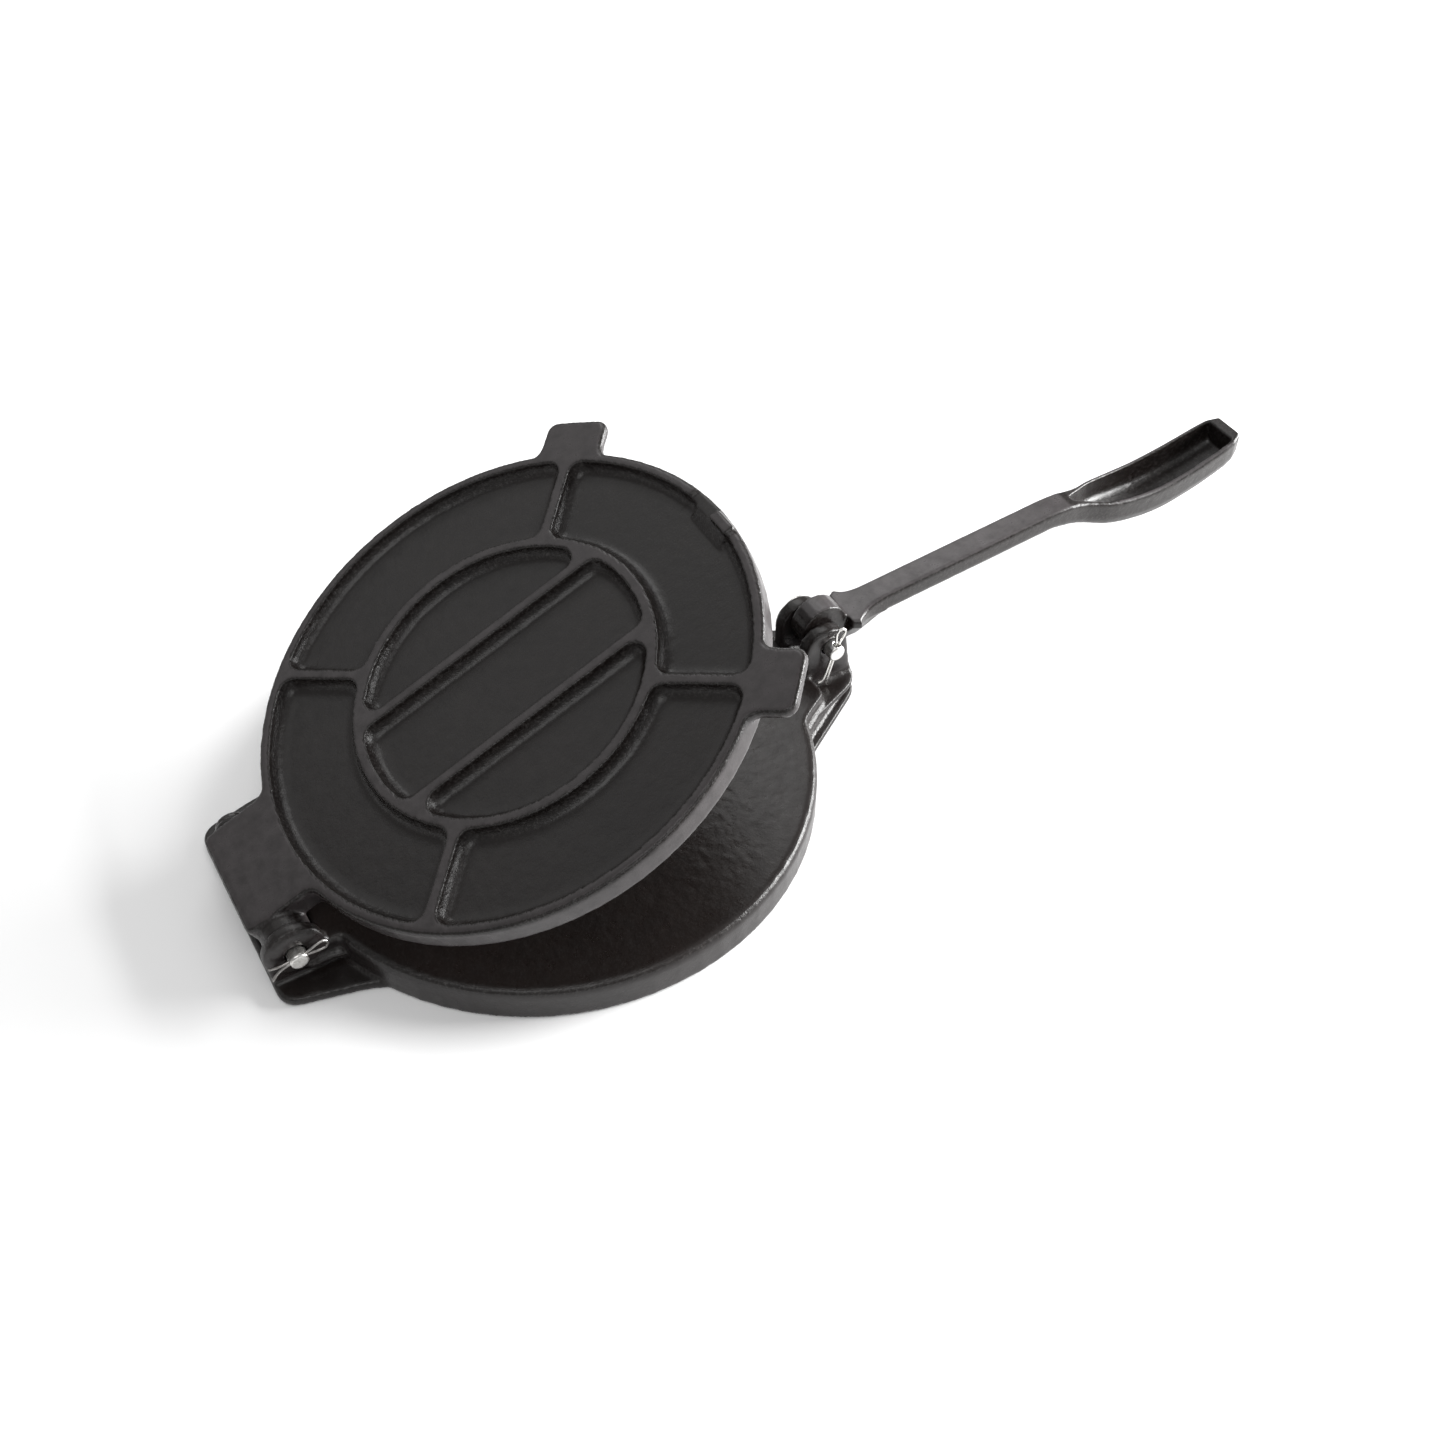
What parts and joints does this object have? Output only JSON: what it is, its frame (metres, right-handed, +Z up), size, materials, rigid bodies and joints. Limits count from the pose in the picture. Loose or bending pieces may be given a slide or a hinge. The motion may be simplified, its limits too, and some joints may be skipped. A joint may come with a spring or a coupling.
{
  "type": "plantain press",
  "caption": "Hinged cast iron plantain press: a ribbed upper plate closes on a flat lower plate, and a hand lever pinned in a fork at the front presses it down.",
  "frame": {"origin": "centre of the lower plate's underside, on the surface that the press stands on", "axes": "+Z up, +X from the plate hinge towards the lever, Y along both pins"},
  "size_m": [0.3861, 0.1742, 0.0911],
  "materials": {
    "base_iron": "seasoned, satin",
    "plate_iron": "seasoned, satin",
    "lever_iron": "seasoned, satin",
    "hinge_pin_steel": "bright, turned end",
    "lever_pin_steel": "bright, turned end",
    "hinge_cotter_steel": "bright wire",
    "lever_cotter_steel": "bright wire"
  },
  "bodies": {
    "base": {"base_plate": "base_iron", "hinge_pin": "hinge_pin_steel", "lever_pin": "lever_pin_steel", "hinge_cotter": "hinge_cotter_steel", "lever_cotter": "lever_cotter_steel"},
    "plate": {"top_plate": "plate_iron"},
    "lever": {"press_lever": "lever_iron"}
  },
  "joints": [
    {"name": "plate_hinge", "type": "hinge", "parent": "base", "child": "plate", "pos_m": [-0.09472, 0, 0.0136], "axis": [0, -1, 0], "range_deg": [-22.9, 78]},
    {"name": "lever_pivot", "type": "hinge", "parent": "base", "child": "lever", "pos_m": [0.1016, 0, 0.0228], "axis": [0, -1, 0], "range_deg": [0, 107]}
  ]
}
